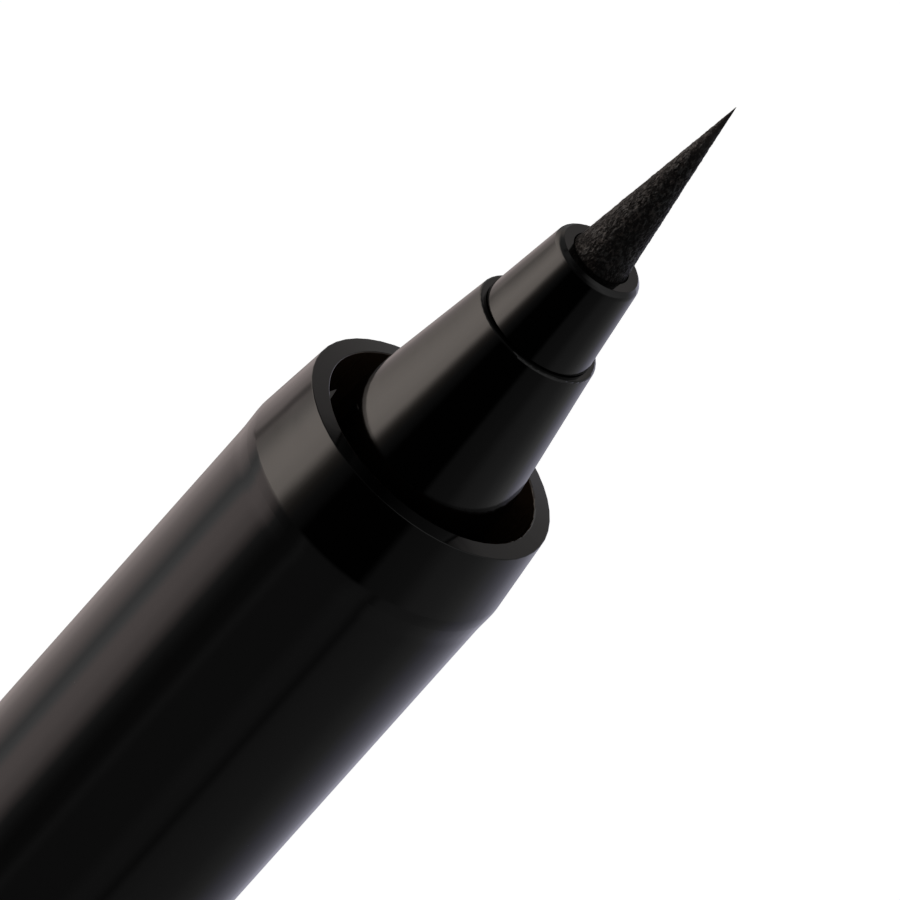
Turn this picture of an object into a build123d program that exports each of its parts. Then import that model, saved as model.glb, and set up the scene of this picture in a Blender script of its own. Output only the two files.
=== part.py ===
from build123d import *
import math
import os

# Free-ink brush-tip pen, standing on its posted cap with the nib up.
# Millimetres, +Z along the pen's axis, z = 0 at the flat end of the cap.

# ---------------------------------------------------------------- dimensions
# overall stations along the axis
Z_CAP_MOUTH = 46.0                  # where the posted cap meets the barrel's tail
BARREL_L = 92.0
Z_RIM = Z_CAP_MOUTH + BARREL_L      # front rim of the barrel
RIM_TO_STEP = 6.25                  # rim to the ledge between section and nose cone
RIM_TO_COLLAR = 9.90                # rim to the nose cone's front face
RIM_TO_TIP = 17.79                  # rim to the nib's point
Z_STEP = Z_RIM + RIM_TO_STEP
Z_COLLAR = Z_RIM + RIM_TO_COLLAR
Z_TIP = Z_RIM + RIM_TO_TIP

# barrel
R_BARREL = 5.29
R_BORE = 4.31
R_RIM = 5.01                        # outside of the flat rim face
R_CREASE = 5.34                     # where the end taper starts
CREASE_L = 3.19                     # rim to crease
CREASE_BLEND = 0.9                  # crease back to the plain cylinder
RIM_OUT_F, RIM_IN_F = 0.04, 0.05    # edge radii of the rim
RIM_CROWN = 0.04                    # the front rim leans outward: its inner edge stands this much
                                    # above Z_RIM and its outer edge as much below

# front section and nose cone
R_SEC_TOP = 2.436                   # outside of the ledge
R_LAND = 3.404                      # cylinder behind the cone, the cap's seat
LAND_L = 6.0
R_NOSE_BASE = 2.19
R_NOSE_FACE = 1.735
R_NOSE_HOLE = 1.17
NOSE_HOLE_MOUTH = 1.15
NOSE_SHOULDER = 1.55                # outer edge of its flat face, inside a bevelled shoulder
NOSE_SPIGOT_R, NOSE_SPIGOT_L = 1.89, 4.7
SEC_FLANGE_L = 4.0
SEC_SPIGOT_R, SEC_SPIGOT_L = 3.44, 6.0

# nib, its sleeve and the feed behind it
NIB_TAN = 0.1383                    # slope of the nib's cone
R_SHANK = 1.03
FERRULE_RI, FERRULE_RO = 1.04, 1.16
FERRULE_DROP = 0.26                 # its edge lies this far below the nose face
R_FEED = 0.75
Z_FEED_BACK = 103.0

# ink tank
TANK_RO, TANK_RI = 4.10, 3.45
Z_TANK_BACK = 58.5
Z_TANK_FRONT = Z_RIM - LAND_L - SEC_FLANGE_L
Z_BULKHEAD = 105.5
BULKHEAD_T = 2.0
R_BALL = 2.0
Z_TAIL_PLUG = 52.5                  # outer face of the tail plug

# cap
CAP_BORE = 4.40
SLEEVE_R = 4.39
SKIRT_RO, SKIRT_RI = 4.255, 3.52    # skirt that plugs into the barrel's end
SKIRT_L = 5.5
GUIDE_R = 2.55                      # neck that guides the seal cup
CHAMBER_R = 2.95
Z_CHAMBER_TOP = 30.0
Z_NECK_TOP = 38.0
CROWN_T = 1.2
Z_SPRING_SEAT = 17.0
Z_CUP_BOTTOM = 27.5
Z_CUP_LIP = 41.0
SPRING_WIRE_R = 0.2
SPRING_COIL_R = 2.3
SPRING_TURNS = 7

# key lug inside the barrel's mouth and the slot for it in the cap's skirt
KEY_A = (-3.93, -1.87)
KEY_B = (-3.68, -2.32)
KEY_TIP = (-3.76, -1.27)
KEY_L = 1.6
KEY_AZ = 206.0


# ------------------------------------------------------------------- helpers
def turned(corners):
    """Solid of revolution about Z from (radius, z, corner radius) points."""
    n = len(corners)
    edges = []
    starts, ends = [], []
    for i in range(n):
        r, z, f = (tuple(corners[i]) + (0.0,))[:3]
        if f <= 0:
            starts.append((r, z))
            ends.append((r, z))
            continue
        pr, pz = corners[i - 1][:2]
        nr, nz = corners[(i + 1) % n][:2]
        a = (pr - r, pz - z)
        b = (nr - r, nz - z)
        la, lb = math.hypot(*a), math.hypot(*b)
        a, b = (a[0] / la, a[1] / la), (b[0] / lb, b[1] / lb)
        half = math.acos(max(-1.0, min(1.0, a[0] * b[0] + a[1] * b[1]))) / 2
        d = f / math.tan(half)
        p = (r + a[0] * d, z + a[1] * d)
        q = (r + b[0] * d, z + b[1] * d)
        m = (a[0] + b[0], a[1] + b[1])
        lm = math.hypot(*m)
        k = f / math.sin(half) - f
        mid = (r + m[0] / lm * k, z + m[1] / lm * k)
        starts.append(p)
        ends.append(q)
        edges.append(ThreePointArc(p, mid, q))
    for i in range(n):
        p, q = ends[i], starts[(i + 1) % n]
        if math.hypot(p[0] - q[0], p[1] - q[1]) > 1e-6:
            edges.append(Line(p, q))
    face = make_face(edges)
    return revolve(Plane.XZ * face, Axis.Z)


def rod(r, z0, z1, x=0.0, y=0.0):
    return Pos(x, y, (z0 + z1) / 2) * Cylinder(r, z1 - z0)


def save(shape, node):
    os.makedirs("parts", exist_ok=True)
    solids = shape.solids()
    if len(solids) == 1:
        shape = solids[0]
    else:
        shape = Compound(children=list(solids))
    shape.label = node
    export_step(shape, "parts/" + node + ".step")


os.makedirs("parts", exist_ok=True)

# ---------------------------------------------------------------------- pen
# Barrel: one open tube, its two ends drawn in by the same soft taper.
z0, z1 = Z_CAP_MOUTH, Z_RIM
barrel = turned([
    (R_BORE, z0, 0.05),
    (R_RIM, z0, 0.07),
    (R_CREASE, z0 + CREASE_L, 3.0),
    (R_BARREL, z0 + CREASE_L + CREASE_BLEND, 5.0),
    (R_BARREL, z1 - CREASE_L - CREASE_BLEND, 5.0),
    (R_CREASE, z1 - CREASE_L, 3.0),
    (R_RIM, z1 - RIM_CROWN, RIM_OUT_F),
    (R_BORE, z1 + RIM_CROWN, RIM_IN_F),
])
# the small three-cornered key on the bore wall at the mouth
wall_a = (KEY_A[0] * 1.06, KEY_A[1] * 1.06)
wall_b = (KEY_B[0] * 1.06, KEY_B[1] * 1.06)
key = extrude(Pos(0, 0, Z_RIM - 0.06 - KEY_L) * make_face(Polyline(KEY_A, KEY_TIP, KEY_B, wall_b, wall_a, KEY_A)), KEY_L)
barrel = barrel + key
save(barrel, "barrel")

# Nose cone: the small front cone that holds the nib, a push fit in the section.
zf, zs = Z_COLLAR, Z_STEP
spigot_z = zs - NOSE_SPIGOT_L
nose = turned([
    (R_NOSE_HOLE, spigot_z),
    (NOSE_SPIGOT_R, spigot_z, 0.15),
    (NOSE_SPIGOT_R, zs),
    (R_NOSE_BASE - 0.06, zs),
    (R_NOSE_BASE, zs + 0.05),
    (R_NOSE_FACE, zf - 0.17, 0.30),
    (NOSE_SHOULDER, zf, 0.03),
    (NOSE_HOLE_MOUTH, zf, 0.02),
    (R_NOSE_HOLE, zf - 0.22),
])
# a stop at the back of the hole, for the nib's sleeve
nose = nose + (rod(R_NOSE_HOLE + 0.2, spigot_z, spigot_z + 0.5) - rod(1.06, spigot_z - 1, spigot_z + 2))
save(nose, "nose_cone")

# Front section: the longer cone, the land that the cap seats on, the flange
# that is welded in the barrel and the spigot that closes the ink tank.
z_land = Z_RIM - LAND_L
z_flange = z_land - SEC_FLANGE_L
z_spig = z_flange - SEC_SPIGOT_L
z_oring = z_flange - 3.0
section = turned([
    (0.77, z_spig),
    (SEC_SPIGOT_R - 0.5, z_spig, 0.2),
    (SEC_SPIGOT_R, z_spig + 0.8),
    (SEC_SPIGOT_R, z_oring - 0.45),
    (2.75, z_oring - 0.45),
    (2.75, z_oring + 0.45),
    (SEC_SPIGOT_R, z_oring + 0.45),
    (SEC_SPIGOT_R, z_flange),
    (R_BORE - 0.01, z_flange),
    (R_BORE - 0.01, z_land, 0.2),
    (R_LAND, z_land, 0.15),
    (R_LAND, Z_RIM),
    (R_SEC_TOP, Z_STEP, 0.1),
    (NOSE_SPIGOT_R + 0.01, Z_STEP),
    (NOSE_SPIGOT_R + 0.01, spigot_z - 0.02),
    (1.06, spigot_z - 0.02),
    (1.06, spigot_z - 0.8),
    (0.77, spigot_z - 0.8),
])
# breather channel beside the feed, from the collector to the nose
section = section - Pos(0, 0.85, (z_spig + spigot_z) / 2) * Box(0.3, 0.5, spigot_z - z_spig + 0.5)
save(section, "front_section")

# O-ring in the section's spigot, sealing the tank
save(Pos(0, 0, z_oring) * Torus(3.10, 0.345), "section_o_ring")

# Nib: bonded tapered fibre, ground to a point, on a straight shank.
r_at = lambda z: (Z_TIP - z) * NIB_TAN
z_sh = Z_COLLAR - FERRULE_DROP
nib = turned([
    (0.0, spigot_z - 0.5),
    (R_SHANK, spigot_z - 0.5),
    (R_SHANK, z_sh + 0.05),
    (r_at(z_sh + 0.30) - 0.01, z_sh + 0.24, 0.08),
    (0.012, Z_TIP - 0.012 / NIB_TAN),
    (0.0, Z_TIP - 0.06),
])
save(nib, "brush_nib")

# Sleeve crimped round the nib's shank
ferrule = turned([
    (FERRULE_RI, spigot_z + 0.5),
    (FERRULE_RO, spigot_z + 0.5),
    (FERRULE_RO, z_sh, 0.03),
    (FERRULE_RI, z_sh, 0.03),
])
save(ferrule, "nib_ferrule")

# Feed core: the fibre rod that carries ink from the tank to the nib's shank
feed = turned([
    (0.0, Z_FEED_BACK),
    (R_FEED, Z_FEED_BACK, 0.2),
    (R_FEED, spigot_z - 0.5),
    (0.0, spigot_z - 0.5),
])
save(feed, "feed_core")

# Collector: a stack of fins round a tube, with a slot down one side, that
# holds the ink pushed out when the air in the tank warms up.
zc0 = Z_BULKHEAD + BULKHEAD_T
zc1 = z_spig
n_fin = 18
pitch = (zc1 - zc0 - 1.0) / n_fin
prof = [(0.78, zc0), (3.10, zc0), (3.10, zc0 + 0.5)]
z = zc0 + 0.5
for i in range(n_fin):
    prof += [(1.45, z), (1.45, z + pitch - 0.35), (3.10, z + pitch - 0.35), (3.10, z + pitch)]
    z += pitch
prof += [(1.45, z), (1.45, zc1), (0.78, zc1)]
collector = turned([p for p in prof])
collector = collector - Pos(2.3, 0, (zc0 + zc1) / 2) * Box(2.4, 0.25, zc1 - zc0 + 1)
save(collector, "ink_collector")

# Bulkhead between the collector's chamber and the ink
bulkhead = turned([
    (0.77, Z_BULKHEAD),
    (TANK_RI - 0.01, Z_BULKHEAD, 0.15),
    (TANK_RI - 0.01, Z_BULKHEAD + BULKHEAD_T),
    (0.77, Z_BULKHEAD + BULKHEAD_T),
])
bulkhead = bulkhead - rod(0.3, Z_BULKHEAD - 1, Z_BULKHEAD + BULKHEAD_T + 1, 0, 1.9)
save(bulkhead, "tank_bulkhead")

# Ink tank: a thin tube inside the barrel
save(turned([
    (TANK_RI, Z_TANK_BACK, 0.1),
    (TANK_RO, Z_TANK_BACK, 0.1),
    (TANK_RO, Z_TANK_FRONT, 0.1),
    (TANK_RI, Z_TANK_FRONT, 0.1),
]), "ink_tank")

# Plug in the tank's back end, with its own O-ring
z_pl = Z_TANK_BACK
tank_plug = turned([
    (0.0, z_pl + 1.2),
    (2.3, z_pl + 1.2),
    (2.3, z_pl - 1.0),
    (4.05, z_pl - 1.0, 0.2),
    (4.05, z_pl),
    (TANK_RI - 0.01, z_pl),
    (TANK_RI - 0.01, z_pl + 1.35),
    (2.75, z_pl + 1.35),
    (2.75, z_pl + 2.25),
    (TANK_RI - 0.01, z_pl + 2.25),
    (TANK_RI - 0.01, z_pl + 3.5, 0.3),
    (0.0, z_pl + 3.5),
])
save(tank_plug, "tank_plug")
save(Pos(0, 0, z_pl + 1.8) * Torus(3.10, 0.345), "tank_plug_o_ring")

# Steel ball that stirs the ink
z_ball = z_pl + 3.5 + R_BALL + 0.05
save(Pos(0, 0, z_ball) * Sphere(R_BALL), "mixing_ball")

# Tail plug: a shallow cup welded in the barrel's back end
tail_plug = turned([
    (0.0, Z_TAIL_PLUG),
    (R_BORE - 0.01, Z_TAIL_PLUG, 0.25),
    (R_BORE - 0.01, z_pl - 1.0),
    (3.3, z_pl - 1.0),
    (3.3, Z_TAIL_PLUG + 1.3, 0.2),
    (0.0, Z_TAIL_PLUG + 1.3),
])
save(tail_plug, "tail_plug")

# ---------------------------------------------------------------------- cap
# Outer shell: a straight tube, its mouth drawn in like the barrel's ends
zm = Z_CAP_MOUTH
cap_shell = turned([
    (CAP_BORE, CROWN_T, 0.1),
    (R_BARREL, CROWN_T, 0.22),
    (R_BARREL, zm - CREASE_L - CREASE_BLEND, 5.0),
    (R_CREASE, zm - CREASE_L, 3.0),
    (R_RIM, zm, 0.07),
    (CAP_BORE, zm, 0.05),
])
save(cap_shell, "cap_shell")

# Crown: the end button, with a ring pressed into the shell and a tubular post
# that the spring stands on
crown = turned([
    (0.0, 0.0),
    (5.05, 0.0, 0.55),
    (5.05, CROWN_T),
    (SLEEVE_R, CROWN_T),
    (SLEEVE_R, 8.0, 0.2),
    (3.65, 8.0, 0.1),
    (3.65, CROWN_T + 0.4, 0.2),
    (2.88, CROWN_T + 0.4, 0.2),
    (2.88, Z_SPRING_SEAT, 0.1),
    (1.75, Z_SPRING_SEAT, 0.1),
    (1.75, CROWN_T + 0.4, 0.2),
    (0.0, CROWN_T + 0.4),
])
save(crown, "cap_crown")

# Inner sleeve: fixed in the shell; its skirt stands out of the mouth and plugs
# into the barrel at either end
z_sk = zm + SKIRT_L
sleeve = turned([
    (CHAMBER_R, 8.2),
    (SLEEVE_R, 8.2, 0.1),
    (SLEEVE_R, 12.0),
    (3.75, 12.6),
    (3.75, 34.0),
    (SLEEVE_R, 34.6),
    (SLEEVE_R, zm - 0.05, 0.05),
    (SKIRT_RO, zm + 0.09),
    (SKIRT_RO, z_sk - 1.9, 0.2),
    (SKIRT_RO + 0.035, z_sk - 1.5, 0.2),
    (SKIRT_RO, z_sk - 1.1, 0.2),
    (SKIRT_RO - 0.02, z_sk - 0.5),
    (SKIRT_RO - 0.22, z_sk, 0.08),
    (SKIRT_RI + 0.1, z_sk, 0.08),
    (SKIRT_RI, z_sk - 0.5),
    (SKIRT_RI, Z_NECK_TOP + 0.6),
    (GUIDE_R + 0.3, Z_NECK_TOP),
    (GUIDE_R, Z_NECK_TOP - 0.3),
    (GUIDE_R, Z_CHAMBER_TOP),
    (CHAMBER_R, Z_CHAMBER_TOP),
])
# keyway for the lug in the barrel's mouth, and two moulding flutes beside it
for az, wide in ((KEY_AZ, 1.0),):
    sleeve = sleeve - Rot(0, 0, az) * Pos(4.3, 0, zm + 3.6) * Box(1.3, wide, 4.0)
save(sleeve, "cap_inner_sleeve")

# Seal cup: floats on the spring and closes over the nose cone
cup = turned([
    (0.0, Z_CUP_BOTTOM),
    (1.8, Z_CUP_BOTTOM),
    (2.87, Z_CUP_BOTTOM, 0.15),
    (2.87, Z_CHAMBER_TOP - 0.05, 0.1),
    (GUIDE_R - 0.05, Z_CHAMBER_TOP - 0.05),
    (GUIDE_R - 0.05, Z_CUP_LIP - 0.9),
    (2.22, Z_CUP_LIP - 0.9),
    (2.22, 37.6),
    (1.65, 36.6),
    (1.65, Z_CUP_BOTTOM + 1.1, 0.3),
    (0.0, Z_CUP_BOTTOM + 1.1),
])
save(cup, "seal_cup")

# Soft ring on the cup's lip; it presses on the ledge behind the nose cone
save(turned([
    (2.22, Z_CUP_LIP - 0.9),
    (GUIDE_R - 0.05, Z_CUP_LIP - 0.9),
    (GUIDE_R - 0.05, Z_CUP_LIP, 0.1),
    (2.22, Z_CUP_LIP, 0.1),
]), "seal_ring")

# Spring between the crown's post and the seal cup
h = Z_CUP_BOTTOM - Z_SPRING_SEAT - 2 * SPRING_WIRE_R - 0.02
helix = Pos(0, 0, Z_SPRING_SEAT + SPRING_WIRE_R + 0.01) * Helix(h / SPRING_TURNS, h, SPRING_COIL_R)
tangent = helix % 0
wire = Plane(origin=helix @ 0, z_dir=tangent) * Circle(SPRING_WIRE_R)
save(sweep(wire, path=helix), "seal_spring")
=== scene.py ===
import math

import bmesh
import bpy
import numpy as np
from mathutils import Matrix, Vector, noise


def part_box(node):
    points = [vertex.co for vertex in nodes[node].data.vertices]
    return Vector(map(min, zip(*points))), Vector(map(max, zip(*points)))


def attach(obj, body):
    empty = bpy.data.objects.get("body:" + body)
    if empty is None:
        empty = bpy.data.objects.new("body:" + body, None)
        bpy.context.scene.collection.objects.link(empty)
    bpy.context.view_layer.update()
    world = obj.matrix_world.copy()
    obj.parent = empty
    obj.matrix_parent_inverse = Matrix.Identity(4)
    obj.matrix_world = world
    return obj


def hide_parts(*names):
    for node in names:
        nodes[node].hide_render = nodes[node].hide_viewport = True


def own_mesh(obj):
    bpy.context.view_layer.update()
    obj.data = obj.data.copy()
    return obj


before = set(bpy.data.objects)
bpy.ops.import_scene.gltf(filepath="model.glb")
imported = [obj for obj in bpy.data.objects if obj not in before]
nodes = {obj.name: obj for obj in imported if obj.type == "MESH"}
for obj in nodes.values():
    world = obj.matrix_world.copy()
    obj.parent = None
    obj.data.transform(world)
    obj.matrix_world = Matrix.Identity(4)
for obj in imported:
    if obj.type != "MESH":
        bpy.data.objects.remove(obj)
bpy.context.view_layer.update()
scene = bpy.context.scene
MM = 0.001

# ---------------------------------------------------------------- small helpers


def new_material(name):
    m = bpy.data.materials.new(name)
    m.use_nodes = True
    nt = m.node_tree
    bsdf = nt.nodes["Principled BSDF"]
    return m, nt, bsdf


def add(nt, kind, **values):
    n = nt.nodes.new(kind)
    for k, v in values.items():
        setattr(n, k, v)
    return n


def link(nt, a, b):
    nt.links.new(a, b)


def coords(nt, scale=(1, 1, 1)):
    """Object coordinates in millimetres, stretched."""
    tc = add(nt, "ShaderNodeTexCoord")
    mp = add(nt, "ShaderNodeMapping")
    mp.inputs["Scale"].default_value = tuple(1000 * s for s in scale)
    link(nt, tc.outputs["Object"], mp.inputs["Vector"])
    return mp.outputs["Vector"]


def noise_tex(nt, vec, scale, detail=3.0, rough=0.5, distortion=0.0):
    n = add(nt, "ShaderNodeTexNoise")
    n.inputs["Scale"].default_value = scale
    n.inputs["Detail"].default_value = detail
    n.inputs["Roughness"].default_value = rough
    n.inputs["Distortion"].default_value = distortion
    link(nt, vec, n.inputs["Vector"])
    return n.outputs["Fac"]


def remap(nt, value, a, b, c, d, kind="LINEAR"):
    m = add(nt, "ShaderNodeMapRange", interpolation_type=kind)
    m.inputs["From Min"].default_value = a
    m.inputs["From Max"].default_value = b
    m.inputs["To Min"].default_value = c
    m.inputs["To Max"].default_value = d
    link(nt, value, m.inputs["Value"])
    return m.outputs["Result"]


def math_node(nt, op, a, b=None):
    m = add(nt, "ShaderNodeMath", operation=op)
    for i, v in enumerate((a, b)):
        if v is None:
            continue
        if isinstance(v, (int, float)):
            m.inputs[i].default_value = v
        else:
            link(nt, v, m.inputs[i])
    return m.outputs[0]


def mix_colour(nt, fac, a, b):
    m = add(nt, "ShaderNodeMix", data_type="RGBA")
    link(nt, fac, m.inputs[0])
    for i, v in ((6, a), (7, b)):
        if isinstance(v, tuple):
            m.inputs[i].default_value = (*v, 1)
        else:
            link(nt, v, m.inputs[i])
    return m.outputs[2]


def bump(nt, bsdf, height, strength, distance):
    b = add(nt, "ShaderNodeBump")
    b.inputs["Strength"].default_value = strength
    b.inputs["Distance"].default_value = distance
    link(nt, height, b.inputs["Height"])
    link(nt, b.outputs["Normal"], bsdf.inputs["Normal"])


def give(node, mat):
    me = nodes[node].data
    me.materials.clear()
    me.materials.append(mat)
    for p in me.polygons:
        p.material_index = 0


# -------------------------------------------------------------------- materials


def gloss_black(name, rough, haze, seed, bore=None):
    """Moulded black plastic, polished: near mirror with a little haze, faint flow
    waviness from the mould, hairlines along the axis and the odd dust speck."""
    m, nt, b = new_material(name)
    vec = coords(nt)
    b.inputs["IOR"].default_value = 1.5
    cloud = noise_tex(nt, vec, 0.35 + seed * 0.01, 3, 0.55)
    fine = noise_tex(nt, vec, 9.0, 2, 0.5)
    long_vec = coords(nt, (7.0, 7.0, 0.12))
    hair = noise_tex(nt, long_vec, 2.2, 2, 0.6)
    hair_mask = remap(nt, hair, 0.68, 0.80, 0.0, 1.0, "SMOOTHSTEP")
    dust_tex = add(nt, "ShaderNodeTexVoronoi", feature="F1", distance="EUCLIDEAN")
    dust_tex.inputs["Scale"].default_value = 0.9
    dust_tex.inputs["Randomness"].default_value = 1.0
    link(nt, vec, dust_tex.inputs["Vector"])
    dust = remap(nt, dust_tex.outputs["Distance"], 0.012, 0.03, 1.0, 0.0, "SMOOTHSTEP")
    base = mix_colour(nt, cloud, (0.0005, 0.0005, 0.0005), (0.0009, 0.0008, 0.0008))
    base = mix_colour(nt, dust, base, (0.010, 0.0095, 0.009))
    if bore:
        # painted light: the wall of the mouth's bore is painted a lighter brown, a painted sheen standing for light
        # that enters the mouth
        flat = add(nt, "ShaderNodeSeparateXYZ")
        link(nt, vec, flat.inputs[0])
        x2 = math_node(nt, "MULTIPLY", flat.outputs["X"], flat.outputs["X"])
        y2 = math_node(nt, "MULTIPLY", flat.outputs["Y"], flat.outputs["Y"])
        r2 = math_node(nt, "ADD", x2, y2)
        painted_bore_sheen = math_node(nt, "MULTIPLY", remap(nt, r2, (bore - 0.03) ** 2, (bore - 0.015) ** 2, 0.0, 1.0),
                         remap(nt, r2, (bore + 0.02) ** 2, (bore + 0.035) ** 2, 1.0, 0.0))
        base = mix_colour(nt, painted_bore_sheen, base, (0.083, 0.052, 0.034))
    link(nt, base, b.inputs["Base Color"])
    r = remap(nt, cloud, 0.3, 0.75, rough, rough + haze)
    r = math_node(nt, "ADD", r, math_node(nt, "MULTIPLY", hair_mask, 0.035))
    r = math_node(nt, "ADD", r, math_node(nt, "MULTIPLY", dust, 0.25))
    link(nt, r, b.inputs["Roughness"])
    h = math_node(nt, "ADD", math_node(nt, "MULTIPLY", cloud, 1.0), math_node(nt, "MULTIPLY", fine, 0.02))
    h = math_node(nt, "ADD", h, math_node(nt, "MULTIPLY", dust, 0.5))
    bump(nt, b, h, 0.10, 0.00006)
    return m


def satin_plastic(name, dark, light, rough, grain, translucent=0.0):
    """Unpolished moulded plastic: fine spark-eroded grain, slight colour drift."""
    m, nt, b = new_material(name)
    vec = coords(nt)
    b.inputs["IOR"].default_value = 1.49
    if translucent:
        b.inputs["Subsurface Weight"].default_value = translucent
        b.inputs["Subsurface Radius"].default_value = (0.0012, 0.0010, 0.0009)
        b.inputs["Subsurface Scale"].default_value = 1.0
    cloud = noise_tex(nt, vec, 0.3, 4, 0.6)
    g = noise_tex(nt, vec, grain, 3, 0.6)
    link(nt, mix_colour(nt, cloud, dark, light), b.inputs["Base Color"])
    link(nt, remap(nt, g, 0.3, 0.7, rough - 0.06, rough + 0.08), b.inputs["Roughness"])
    bump(nt, b, math_node(nt, "ADD", g, cloud), 0.25, 0.00001)
    return m


def rubber(name):
    m, nt, b = new_material(name)
    vec = coords(nt)
    b.inputs["IOR"].default_value = 1.5
    g = noise_tex(nt, vec, 14, 4, 0.65)
    bloom = noise_tex(nt, vec, 0.9, 3, 0.6)
    link(nt, mix_colour(nt, bloom, (0.012, 0.012, 0.012), (0.028, 0.027, 0.026)), b.inputs["Base Color"])
    link(nt, remap(nt, g, 0.3, 0.7, 0.5, 0.72), b.inputs["Roughness"])
    bump(nt, b, g, 0.35, 0.00001)
    return m


def steel(name, brushed):
    m, nt, b = new_material(name)
    b.inputs["Metallic"].default_value = 1.0
    vec = coords(nt, (9, 9, 0.6) if brushed else (1, 1, 1))
    g = noise_tex(nt, vec, 1.5, 4, 0.6)
    tint = noise_tex(nt, coords(nt), 0.7, 2, 0.5)
    link(nt, mix_colour(nt, tint, (0.50, 0.49, 0.47), (0.62, 0.61, 0.60)), b.inputs["Base Color"])
    link(nt, remap(nt, g, 0.3, 0.7, 0.12, 0.26), b.inputs["Roughness"])
    bump(nt, b, g, 0.15, 0.000008)
    return m


def fibre_rod(name):
    m, nt, b = new_material(name)
    streak = noise_tex(nt, coords(nt, (22, 22, 0.8)), 1.0, 3, 0.6)
    link(nt, mix_colour(nt, streak, (0.004, 0.004, 0.005), (0.035, 0.034, 0.036)), b.inputs["Base Color"])
    link(nt, remap(nt, streak, 0.3, 0.7, 0.5, 0.8), b.inputs["Roughness"])
    bump(nt, b, streak, 0.6, 0.00002)
    return m


def nib_fibre(name):
    """Bonded fibre ground to a cone and wet with black ink: pale cut fibre ends
    and short smeared fibres on a black ground."""
    m, nt, b = new_material(name)
    b.inputs["IOR"].default_value = 1.4
    vec = coords(nt)
    grain = noise_tex(nt, coords(nt, (1.0, 1.0, 0.6)), 8.0, 2, 0.6, 0.5)
    fleck = noise_tex(nt, coords(nt, (1.0, 1.0, 0.7)), 15.0, 2, 0.6, 0.3)
    coarse = noise_tex(nt, coords(nt, (1.0, 1.0, 0.5)), 1.7, 3, 0.6)
    hue = noise_tex(nt, vec, 3.2, 2, 0.55)
    speck = remap(nt, grain, 0.46, 0.66, 0.0, 1.0, "SMOOTHSTEP")
    dots = remap(nt, fleck, 0.54, 0.68, 0.0, 0.7, "SMOOTHSTEP")
    patch = remap(nt, coarse, 0.36, 0.62, 0.35, 1.0)
    warm = remap(nt, hue, 0.42, 0.60, 0.0, 1.0)
    pale = mix_colour(nt, warm, (0.031, 0.032, 0.032), (0.050, 0.040, 0.036))
    mask = math_node(nt, "MULTIPLY", math_node(nt, "MAXIMUM", speck, dots), patch)
    # the ink dries back at the point, which is a little greyer
    axis = add(nt, "ShaderNodeSeparateXYZ")
    link(nt, vec, axis.inputs[0])
    dry = remap(nt, axis.outputs["Z"], Z_DRY, Z_DRY + 1.5, 0.0, 1.0, "SMOOTHSTEP")
    wet = mix_colour(nt, dry, (0.0140, 0.0128, 0.0128), (0.040, 0.036, 0.035))
    # and painted shade round its foot, where it goes into the hole: fewer pale flecks there
    painted_foot_shade = remap(nt, axis.outputs["Z"], Z_DRY - 5.15, Z_DRY - 4.55, 0.42, 1.0, "SMOOTHSTEP")
    mask = math_node(nt, "MULTIPLY", mask, painted_foot_shade)
    link(nt, mix_colour(nt, mask, wet, pale), b.inputs["Base Color"])
    link(nt, remap(nt, mask, 0.0, 0.8, 0.06, 0.68), b.inputs["Specular IOR Level"])
    link(nt, remap(nt, grain, 0.35, 0.7, 0.34, 0.52), b.inputs["Roughness"])
    bump(nt, b, math_node(nt, "ADD", grain, fleck), 0.8, 0.00004)
    return m


Z_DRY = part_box("brush_nib")[1].z / MM - 2.9
M_BARREL = gloss_black("barrel_gloss", 0.075, 0.03, 0, bore=4.31)
M_NOSE = gloss_black("nose_gloss", 0.085, 0.03, 3)
M_CAP = gloss_black("cap_gloss", 0.075, 0.03, 7)
M_NATURAL = satin_plastic("natural_plastic", (0.66, 0.65, 0.61), (0.76, 0.755, 0.73), 0.34, 7.0, 0.12)
M_GREY = satin_plastic("sleeve_plastic", (0.03, 0.03, 0.032), (0.045, 0.045, 0.048), 0.32, 9.0)
M_RUBBER = rubber("seal_rubber")
M_STEEL = steel("polished_steel", False)
M_WIRE = steel("spring_wire", True)
M_FEED = fibre_rod("feed_fibre")
M_NIB = nib_fibre("nib_fibre")

for n, m in {
    "barrel": M_BARREL, "front_section": M_NOSE, "nose_cone": M_NOSE, "tail_plug": M_BARREL,
    "cap_shell": M_CAP, "cap_crown": M_CAP, "cap_inner_sleeve": M_NATURAL, "seal_cup": M_NATURAL,
    "ink_tank": M_NATURAL, "tank_plug": M_NATURAL, "tank_bulkhead": M_NATURAL, "ink_collector": M_NATURAL,
    "seal_ring": M_RUBBER, "section_o_ring": M_RUBBER, "tank_plug_o_ring": M_RUBBER,
    "mixing_ball": M_STEEL, "seal_spring": M_WIRE, "feed_core": M_FEED, "nib_ferrule": M_GREY, "brush_nib": M_NIB,
}.items():
    give(n, m)

# ------------------------------------------------------------------ the nib
# The ground fibre surface: short fibres lying roughly along the cone, some
# lifted, some torn out, dying away towards the point.
lo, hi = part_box("brush_nib")
Z_TIP = hi.z / MM
Z_BACK = lo.z / MM
R_SHANK = 1.03
NIB_TAN = 0.1383
Z_APEX = Z_TIP + 0.06
Z_NECK = Z_APEX - 8.09   # where the cone meets its shank, just inside the hole


def nib_radius(z):
    return (Z_APEX - z) * NIB_TAN


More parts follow.
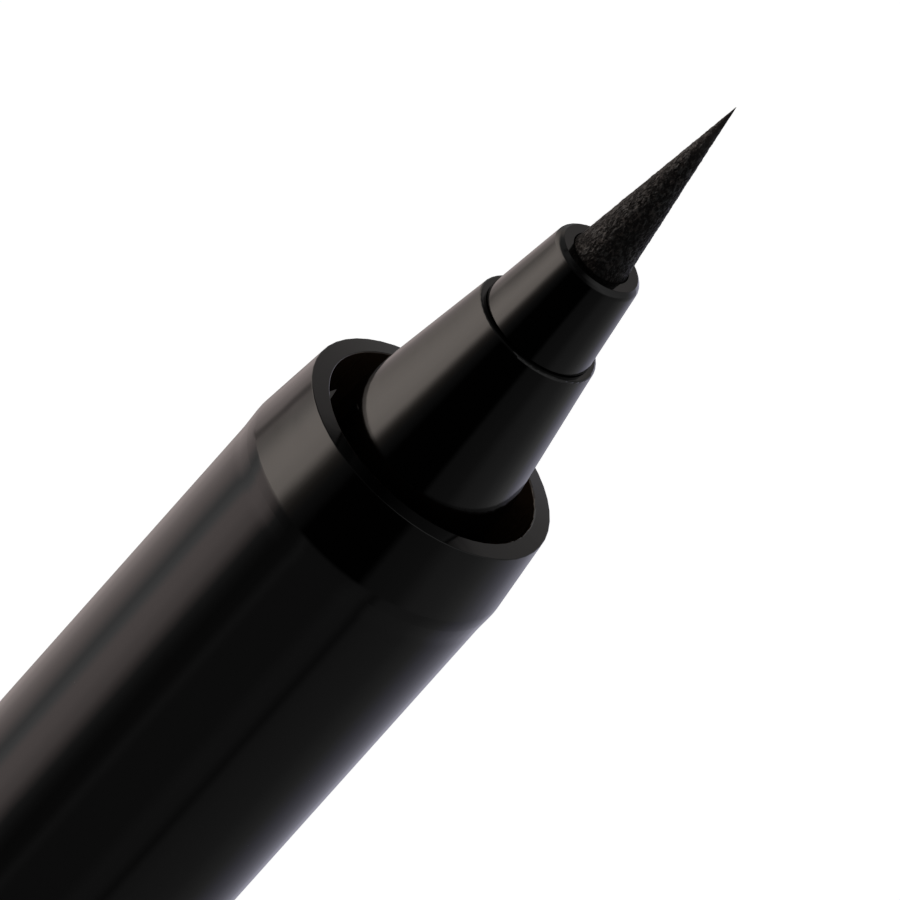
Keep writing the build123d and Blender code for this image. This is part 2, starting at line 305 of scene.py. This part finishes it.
def build_nib():
    n_t = 320
    zs = [Z_BACK, Z_BACK + 0.02, Z_BACK + 3.0, Z_NECK - 0.30]
    rs = [R_SHANK - 0.05, R_SHANK, R_SHANK, R_SHANK]
    cone_z = np.linspace(0, 1, 450)
    z_a, z_b = Z_NECK - 0.10, Z_TIP - 0.015
    cz = z_a + (z_b - z_a) * cone_z
    for i, z in enumerate(cz):
        r = nib_radius(z) - 0.004 * min(1.0, (Z_APEX - z) / 2.0)
        r += 0.028 * math.exp(-((z - Z_NECK) / 0.30) ** 2) if z > Z_NECK else 0.028
        edge = min(1.0, i / 9)
        zs.append(z)
        rs.append(R_SHANK + (r - R_SHANK) * math.sin(edge * math.pi / 2) if i < 9 else r)
    verts, faces = [], []
    for k, (z, r) in enumerate(zip(zs, rs)):
        on_cone = k >= 4
        grow = min(1.0, max(0.0, (k - 4) / 26)) if on_cone else 0.0
        # the texture fades where the cone is too thin to hold it
        amp = grow * min(1.0, max(0.0, r) / 0.22) ** 0.8
        for j in range(n_t):
            a = 2 * math.pi * j / n_t
            d = 0.0
            if amp > 0:
                x, y = r * math.cos(a), r * math.sin(a)
                lean = 0.55 * noise.noise(Vector((x * 1.1, y * 1.1, z * 0.8 + 31)))
                p = Vector((x + lean * 0.25, y - lean * 0.25, z))
                f = noise.noise(Vector((p.x * 9.0, p.y * 9.0, p.z * 5.5)))
                g = noise.noise(Vector((p.x * 17 + 9, p.y * 17, p.z * 12)))
                s = noise.noise(Vector((p.x * 3.1, p.y * 3.1 + 5, p.z * 1.4)))
                d = amp * (0.015 * f + 0.011 * g + 0.004 * s)
            rr = max(0.009, r + d)
            verts.append((rr * math.cos(a) * MM, rr * math.sin(a) * MM, z * MM))
    rings = len(zs)
    for k in range(rings - 1):
        for j in range(n_t):
            j2 = (j + 1) % n_t
            faces.append((k * n_t + j, k * n_t + j2, (k + 1) * n_t + j2, (k + 1) * n_t + j))
    base = len(verts)
    verts.append((0, 0, Z_BACK * MM))
    verts.append((0, 0, Z_TIP * MM))
    for j in range(n_t):
        j2 = (j + 1) % n_t
        faces.append((j2, j, base))
        faces.append(((rings - 1) * n_t + j, (rings - 1) * n_t + j2, base + 1))
    me = bpy.data.meshes.new("nib_fibre_tip")
    me.from_pydata(verts, [], faces)
    me.validate()
    for p in me.polygons:
        p.use_smooth = True
    me.materials.append(M_NIB)
    o = bpy.data.objects.new("nib_fibre_tip", me)
    scene.collection.objects.link(o)
    return o


nib = build_nib()
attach(nib, "pen")
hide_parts("brush_nib")

# ------------------------------------------------------------------ the spring
# The seal's spring again, with its ends closed; the real spring shortens as the seal cup is pressed towards the crown's
# post.
lo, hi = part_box("seal_spring")
SPRING_Z0, SPRING_Z1 = lo.z / MM, hi.z / MM
SPRING_COIL_R, SPRING_WIRE_R = 2.3, 0.2
SPRING_TURNS, DEAD_TURN, DEAD_PITCH = 7.0, 0.7, 0.43


def build_spring():
    n, sides = 7 * 60, 14
    turn = np.linspace(0, SPRING_TURNS, n + 1)
    z0, z1 = SPRING_Z0 + SPRING_WIRE_R + 0.01, SPRING_Z1 - SPRING_WIRE_R - 0.01
    # nearly closed end turns, opening smoothly into the working ones
    opened = np.clip((turn - DEAD_TURN) / 0.5, 0, 1) * np.clip((SPRING_TURNS - DEAD_TURN - turn) / 0.5, 0, 1)
    opened = opened * opened * (3 - 2 * opened)
    step = SPRING_TURNS / n
    share = np.concatenate(([0.0], np.cumsum((opened[1:] + opened[:-1]) / 2 * step)))
    z = z0 + turn * DEAD_PITCH + share / share[-1] * (z1 - z0 - SPRING_TURNS * DEAD_PITCH)
    line = np.stack([SPRING_COIL_R * np.cos(2 * math.pi * turn), SPRING_COIL_R * np.sin(2 * math.pi * turn), z], axis=1)
    along = np.gradient(line, axis=0)
    verts, faces = [], []
    for k in range(n + 1):
        p, t = Vector(line[k]), Vector(along[k]).normalized()
        out = Vector((p.x, p.y, 0)).normalized()
        out = (out - t * out.dot(t)).normalized()
        up = t.cross(out)
        for j in range(sides):
            a = 2 * math.pi * j / sides
            verts.append(tuple((p + out * (SPRING_WIRE_R * math.cos(a)) + up * (SPRING_WIRE_R * math.sin(a))) * MM))
    for k in range(n):
        for j in range(sides):
            j2 = (j + 1) % sides
            faces.append((k * sides + j, (k + 1) * sides + j, (k + 1) * sides + j2, k * sides + j2))
    faces.append(tuple(range(sides)))
    faces.append(tuple(reversed([n * sides + j for j in range(sides)])))
    me = bpy.data.meshes.new("seal_return_spring")
    me.from_pydata(verts, [], faces)
    me.validate()
    bm = bmesh.new()
    bm.from_mesh(me)
    bmesh.ops.recalc_face_normals(bm, faces=bm.faces)
    bm.to_mesh(me)
    bm.free()
    for q in me.polygons:
        q.use_smooth = len(q.vertices) == 4
    me.materials.append(M_WIRE)
    o = bpy.data.objects.new("seal_return_spring", me)
    scene.collection.objects.link(o)
    return o


spring = build_spring()
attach(spring, "cap")
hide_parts("seal_spring")
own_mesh(spring)

# ------------------------------------------------------------------ studio
# Pale floor, seen by the camera and shaded by the pen.
bpy.ops.mesh.primitive_plane_add(size=30, location=(0, 0, -0.00002))
floor = bpy.context.object
floor.name = "studio_floor"
m, nt, b = new_material("studio_floor_white")
b.inputs["Base Color"].default_value = (0.86, 0.86, 0.86, 1)
b.inputs["Roughness"].default_value = 0.8
b.inputs["Specular IOR Level"].default_value = 0.1
b.inputs["Emission Color"].default_value = (1, 1, 1, 1)
b.inputs["Emission Strength"].default_value = 0.825
floor.data.materials.append(m)
floor.visible_glossy = False
floor.visible_diffuse = False
floor.visible_transmission = False

# World: a tall softbox to the left, a dim wall that brightens round the back on
# the right, black cloth behind the camera, a pale table below and a soft
# overhead light.  Brightness by direction only.
world = bpy.data.worlds.new("studio")
scene.world = world
world.use_nodes = True
wn = world.node_tree
wn.nodes.clear()
tc = add(wn, "ShaderNodeTexCoord")
sep = add(wn, "ShaderNodeSeparateXYZ")
link(wn, tc.outputs["Generated"], sep.inputs[0])
minus_y = math_node(wn, "MULTIPLY", sep.outputs["Y"], -1.0)
az = math_node(wn, "ARCTAN2", sep.outputs["X"], minus_y)
az01 = math_node(wn, "ADD", math_node(wn, "DIVIDE", az, 2 * math.pi), 0.5)
el = math_node(wn, "DIVIDE", math_node(wn, "ARCSINE", sep.outputs["Z"]), math.radians(1))
PEAK = 2.4


def ring(stops):
    r = add(wn, "ShaderNodeValToRGB")
    r.color_ramp.interpolation = "LINEAR"
    el_ = r.color_ramp.elements
    while len(el_) > 1:
        el_.remove(el_[-1])
    for i, (deg, v, tint) in enumerate(stops):
        e = el_[0] if i == 0 else el_.new((deg + 180) / 360)
        e.position = (deg + 180) / 360
        e.color = (v * tint[0] / PEAK, v * tint[1] / PEAK, v * tint[2] / PEAK, 1)
    link(wn, az01, r.inputs["Fac"])
    return r.outputs["Color"]


WARM, NEUTRAL, COOL = (1.10, 0.985, 0.90), (1, 1, 1), (0.99, 0.98, 1.18)
WARM_LOW = (1.10, 0.945, 0.915)
BACK = (1.05, 0.99, 0.97)
upper = ring([
    (-180, 0.40, NEUTRAL), (-170, 0.38, NEUTRAL), (-152, 0.31, NEUTRAL), (-137, 0.50, WARM), (-124, 0.88, WARM),
    (-105, 1.50, WARM), (-91, 1.96, WARM), (-77, 2.18, WARM), (-64, 2.06, WARM), (-60, 1.50, WARM),
    (-56, 0.72, WARM), (-52, 0.30, WARM), (-48, 0.16, WARM), (-42, 0.085, NEUTRAL), (-34, 0.045, NEUTRAL),
    (-29, 0.004, NEUTRAL), (24, 0.004, NEUTRAL), (30, 0.085, NEUTRAL), (54, 0.098, NEUTRAL), (68, 0.172, NEUTRAL),
    (90, 0.185, NEUTRAL), (106, 0.24, NEUTRAL), (124, 0.35, NEUTRAL), (136, 0.46, COOL), (146, 0.63, COOL),
    (158, 0.78, COOL), (168, 0.88, COOL), (174, 0.50, COOL), (180, 0.40, NEUTRAL),
])
lower = ring([
    (-180, 0.28, NEUTRAL), (-168, 0.40, WARM_LOW), (-160, 0.55, WARM_LOW), (-140, 0.66, WARM_LOW), (-118, 0.60, WARM_LOW),
    (-104, 0.40, NEUTRAL), (-96, 0.60, NEUTRAL), (-88, 0.91, WARM_LOW), (-79, 0.98, WARM_LOW), (-67, 0.81, WARM_LOW),
    (-61, 0.47, WARM_LOW), (-55, 0.155, NEUTRAL), (-47, 0.080, NEUTRAL), (-40, 0.050, NEUTRAL), (-31, 0.060, NEUTRAL),
    (-24, 0.115, NEUTRAL), (-18, 0.085, NEUTRAL), (16, 0.088, NEUTRAL), (26, 0.118, NEUTRAL), (35, 0.112, NEUTRAL),
    (42, 0.062, NEUTRAL), (48, 0.125, NEUTRAL), (58, 0.138, NEUTRAL), (84, 0.138, NEUTRAL), (104, 0.185, NEUTRAL),
    (118, 0.27, COOL), (128, 0.345, COOL), (140, 0.44, COOL), (152, 0.50, COOL), (166, 0.52, COOL), (174, 0.40, COOL),
    (180, 0.28, NEUTRAL),
])


def wmix(fac, a, b_):
    m_ = add(wn, "ShaderNodeMix", data_type="RGBA")
    link(wn, fac, m_.inputs[0])
    for i, v in ((6, a), (7, b_)):
        if isinstance(v, tuple):
            m_.inputs[i].default_value = (*v, 1)
        else:
            link(wn, v, m_.inputs[i])
    return m_.outputs[2]


def band(a, b_, c=0.0, d=1.0):
    m_ = add(wn, "ShaderNodeMapRange", interpolation_type="SMOOTHSTEP")
    m_.inputs["From Min"].default_value = a
    m_.inputs["From Max"].default_value = b_
    m_.inputs["To Min"].default_value = c
    m_.inputs["To Max"].default_value = d
    link(wn, el, m_.inputs["Value"])
    return m_.outputs["Result"]


high = ring([
    (-180, 0.30, BACK), (-150, 0.30, BACK), (-120, 0.24, NEUTRAL), (-80, 0.24, NEUTRAL), (-50, 0.11, NEUTRAL),
    (-25, 0.03, NEUTRAL), (8, 0.05, NEUTRAL), (34, 0.30, NEUTRAL), (60, 0.50, NEUTRAL), (96, 0.42, NEUTRAL),
    (130, 0.28, NEUTRAL), (155, 0.30, NEUTRAL), (180, 0.30, BACK),
])
over = ring([
    (-180, 0.03, NEUTRAL), (-150, 0.05, NEUTRAL), (-90, 0.09, NEUTRAL), (-45, 0.035, NEUTRAL), (-15, 0.035, NEUTRAL),
    (4, 0.14, NEUTRAL), (24, 0.28, NEUTRAL), (56, 0.50, NEUTRAL), (100, 0.28, NEUTRAL), (150, 0.06, NEUTRAL),
    (180, 0.03, NEUTRAL),
])
walls = wmix(band(-25.0, -19.5), lower, upper)
az_deg = math_node(wn, "DIVIDE", az, math.radians(1))
BLACK = (0.02, 0.02, 0.02)


def line(slope, at, el_at, inner, outer, depth, el0, el1, el2, el3):
    """A dark slanting gap between two panels: az = at + slope * (el - el_at)."""
    mid = math_node(wn, "ADD", math_node(wn, "MULTIPLY", math_node(wn, "SUBTRACT", el, el_at), slope), at)
    off = math_node(wn, "ABSOLUTE", math_node(wn, "SUBTRACT", az_deg, mid))
    f = remap(wn, off, inner, outer, depth, 0.0, "SMOOTHSTEP")
    f = math_node(wn, "MULTIPLY", f, remap(wn, el, el0, el1, 0.0, 1.0, "SMOOTHSTEP"))
    return math_node(wn, "MULTIPLY", f, remap(wn, el, el2, el3, 1.0, 0.0, "SMOOTHSTEP"))


walls = wmix(line(2.7, -123.1, -23.55, 1.0, 6.0, 0.56, -27.5, -25.0, -22.9, -22.3), walls, BLACK)
# and the soft shade of its frame above it
rail = math_node(wn, "ADD", math_node(wn, "MULTIPLY", math_node(wn, "ADD", az_deg, 114.3), 0.101), -21.06)
rail = math_node(wn, "ABSOLUTE", math_node(wn, "SUBTRACT", el, rail))
rail = math_node(wn, "MULTIPLY", remap(wn, rail, 0.9, 1.7, 1.0, 0.0, "SMOOTHSTEP"),
                 remap(wn, az_deg, -130.0, -117.0, 0.0, 1.0, "SMOOTHSTEP"))
rail = math_node(wn, "MULTIPLY", rail, remap(wn, az_deg, -113.0, -84.0, 0.46, 0.0))
walls = wmix(rail, walls, BLACK)
# the upper left panel ends in shade towards the back
edge = math_node(wn, "SUBTRACT", el, math_node(wn, "ADD", math_node(wn, "MULTIPLY", az_deg, 0.131), -4.35))
shade = math_node(wn, "MULTIPLY", remap(wn, edge, -0.35, 0.35, 0.0, 1.0, "SMOOTHSTEP"),
                  remap(wn, el, -8.0, 0.0, 1.0, 0.0, "SMOOTHSTEP"))
shade = math_node(wn, "MULTIPLY", shade, remap(wn, az_deg, -134.0, -162.0, 0.0, 0.64))
walls = wmix(shade, walls, BLACK)
# and the right one is a little dimmer along its foot
foot = math_node(wn, "MULTIPLY", remap(wn, el, -28.3, -26.8, 0.0, 0.09, "SMOOTHSTEP"),
                 remap(wn, el, -24.0, -22.8, 1.0, 0.0, "SMOOTHSTEP"))
foot = math_node(wn, "MULTIPLY", foot, remap(wn, az_deg, 70.0, 100.0, 0.0, 1.0))
walls = wmix(foot, walls, BLACK)
walls = wmix(band(10, 26), walls, high)
# a dark ceiling strip high at the back
back_off = math_node(wn, "ABSOLUTE", az_deg)
strip = math_node(wn, "MULTIPLY", remap(wn, el, 37.0, 40.6, 0.0, 0.96, "SMOOTHSTEP"),
                  remap(wn, back_off, 138, 152, 0.0, 1.0, "SMOOTHSTEP"))
walls = wmix(strip, walls, (0.004, 0.004, 0.004))
# which turns the corner along the left, higher up
cloth = math_node(wn, "MULTIPLY", remap(wn, el, 40.5, 43.5, 0.0, 0.62, "SMOOTHSTEP"),
                  remap(wn, az_deg, -90.0, -100.0, 0.0, 1.0, "SMOOTHSTEP"))
walls = wmix(cloth, walls, (0.004, 0.004, 0.004))
top = wmix(band(50, 62), walls, over)
floor_far = wmix(band(-62, -40), (0.30 / PEAK, 0.30 / PEAK, 0.30 / PEAK), top)
bg = add(wn, "ShaderNodeBackground")
bg.inputs["Strength"].default_value = PEAK
link(wn, floor_far, bg.inputs["Color"])
white = add(wn, "ShaderNodeBackground")
white.inputs["Color"].default_value = (1, 1, 1, 1)
white.inputs["Strength"].default_value = 1.02
lp = add(wn, "ShaderNodeLightPath")
ms = add(wn, "ShaderNodeMixShader")
link(wn, lp.outputs["Is Camera Ray"], ms.inputs[0])
link(wn, bg.outputs[0], ms.inputs[1])
link(wn, white.outputs[0], ms.inputs[2])
wo = add(wn, "ShaderNodeOutputWorld")
link(wn, ms.outputs[0], wo.inputs["Surface"])

scene.view_settings.view_transform = "Standard"
scene.view_settings.look = "None"
scene.view_settings.exposure = 0.0
scene.view_settings.gamma = 1.0

# ------------------------------------------------------------------ camera
# Long lens, 28.9 degrees above the nib's end, rolled so that the upright pen
# points up and to the right at 48.2 degrees.
EL, LEAN = math.radians(28.9), math.radians(48.23)
LENS = 1650
PX = 29.45                                   # frame pixels per millimetre at the nib's point
toward = Vector((0, -math.cos(EL), math.sin(EL)))
up0 = Vector((0, math.sin(EL), math.cos(EL)))
side = Vector((1, 0, 0))
right = math.cos(LEAN) * up0 + math.sin(LEAN) * side
up = math.sin(LEAN) * up0 - math.cos(LEAN) * side
apex = Vector((0, 0, Z_APEX))
aim = apex + right * ((449.5 - 736.9) / PX) - up * ((449.5 - 105.4) / PX)
cam_data = bpy.data.cameras.new("camera")
cam = bpy.data.objects.new("camera", cam_data)
scene.collection.objects.link(cam)
cam_data.lens = LENS
cam_data.sensor_width = 36
dist = LENS * (900 / PX) / 36
rot = Matrix((right, up, toward)).transposed()
cam.matrix_world = Matrix.Translation((aim + toward * dist) * MM) @ rot.to_4x4()
cam_data.clip_start, cam_data.clip_end = 0.05, 40
cam_data.dof.use_dof = False
scene.camera = cam
